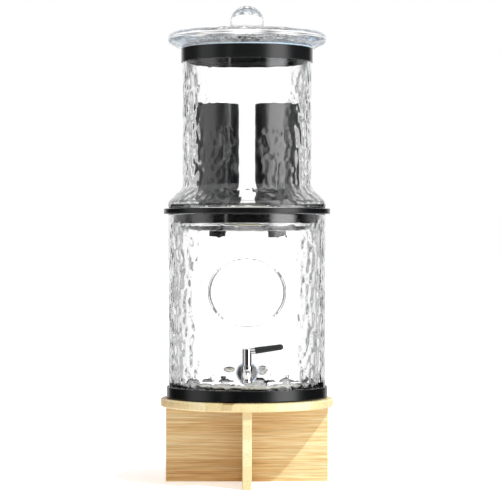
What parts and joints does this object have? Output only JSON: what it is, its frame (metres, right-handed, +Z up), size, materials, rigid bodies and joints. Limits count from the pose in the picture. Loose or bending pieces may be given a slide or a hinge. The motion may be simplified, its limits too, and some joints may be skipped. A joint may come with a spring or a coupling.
{
  "type": "gravity water filter with tap",
  "caption": "Two stacked glass vessels on a round cross-board stand: upper one holds black filter cartridges, lower one has a small lever tap, and a glass lid with a ball knob closes the top.",
  "frame": {"origin": "on the common axis of the two vessels, on the surface that the stand stands on", "axes": "+Z up along the vessels' axis; the tap faces -Y; +X is to the right seen from the tap's side"},
  "size_m": [0.244, 0.2793, 0.6708],
  "materials": {
    "bamboo": "satin varnish",
    "glass": "clear, hammered",
    "black_silicone": "satin",
    "clear_silicone": "translucent",
    "black_plastic": "satin",
    "carbon": "matte, porous",
    "stainless": "polished"
  },
  "bodies": {
    "stand": {"stand_plate": "bamboo", "cross_board_side": "bamboo", "cross_board_front": "bamboo"},
    "tank": {"base_boot": "black_silicone", "lower_jar": "glass", "tap_outer_washer": "clear_silicone", "tap_inner_washer": "clear_silicone", "tap_lock_nut": "stainless", "tap_body": "stainless", "tap_bonnet": "stainless"},
    "tap_handle": {"tap_plug": "stainless", "tap_orings": "black_silicone", "tap_lever": "stainless", "tap_grip": "black_plastic", "tap_lever_screw": "stainless"},
    "chamber": {"upper_vessel": "glass", "rim_band": "black_silicone", "divider_collar": "black_silicone"},
    "lid": {"lid": "glass", "lid_seal": "clear_silicone"},
    "left_element": {"left_element_shell": "black_plastic", "left_element_core": "carbon", "left_element_cap": "black_plastic", "left_element_washer": "black_silicone"},
    "left_nut_seat": {"left_nut_washer": "black_silicone"},
    "left_nut": {"left_wing_nut": "black_plastic"},
    "right_element": {"right_element_shell": "black_plastic", "right_element_core": "carbon", "right_element_cap": "black_plastic", "right_element_washer": "black_silicone"},
    "right_nut_seat": {"right_nut_washer": "black_silicone"},
    "right_nut": {"right_wing_nut": "black_plastic"}
  },
  "joints": [
    {"name": "tank_lift", "type": "slide", "parent": "stand", "child": "tank", "axis": [0, 0, 1], "range_m": [0, 0.06]},
    {"name": "tap_turn", "type": "hinge", "parent": "tank", "child": "tap_handle", "pos_m": [0, -0.131, 0.17], "axis": [0, 0, 1], "range_deg": [-90, 0]},
    {"name": "chamber_lift", "type": "slide", "parent": "tank", "child": "chamber", "axis": [0, 0, 1], "range_m": [0, 0.12]},
    {"name": "lid_lift", "type": "slide", "parent": "chamber", "child": "lid", "axis": [0, 0, 1], "range_m": [0, 0.1]},
    {"name": "left_element_lift", "type": "slide", "parent": "chamber", "child": "left_element", "axis": [0, 0, 1], "range_m": [0, 0.065]},
    {"name": "left_nut_travel", "type": "slide", "parent": "chamber", "child": "left_nut_seat", "axis": [0, 0, -1], "range_m": [0, 0.005]},
    {"name": "left_nut_spin", "type": "hinge", "parent": "left_nut_seat", "child": "left_nut", "pos_m": [-0.0414, 0, 0.348], "axis": [0, 0, -1], "range_deg": [0, 900]},
    {"name": "right_element_lift", "type": "slide", "parent": "chamber", "child": "right_element", "axis": [0, 0, 1], "range_m": [0, 0.065]},
    {"name": "right_nut_travel", "type": "slide", "parent": "chamber", "child": "right_nut_seat", "axis": [0, 0, -1], "range_m": [0, 0.005]},
    {"name": "right_nut_spin", "type": "hinge", "parent": "right_nut_seat", "child": "right_nut", "pos_m": [0.0414, 0, 0.348], "axis": [0, 0, -1], "range_deg": [0, 900]}
  ],
  "couplings": [
    {"joint": "left_nut_spin", "follows": "left_nut_travel", "rad_per_m": 3141.6},
    {"joint": "right_nut_spin", "follows": "right_nut_travel", "rad_per_m": 3141.6}
  ]
}
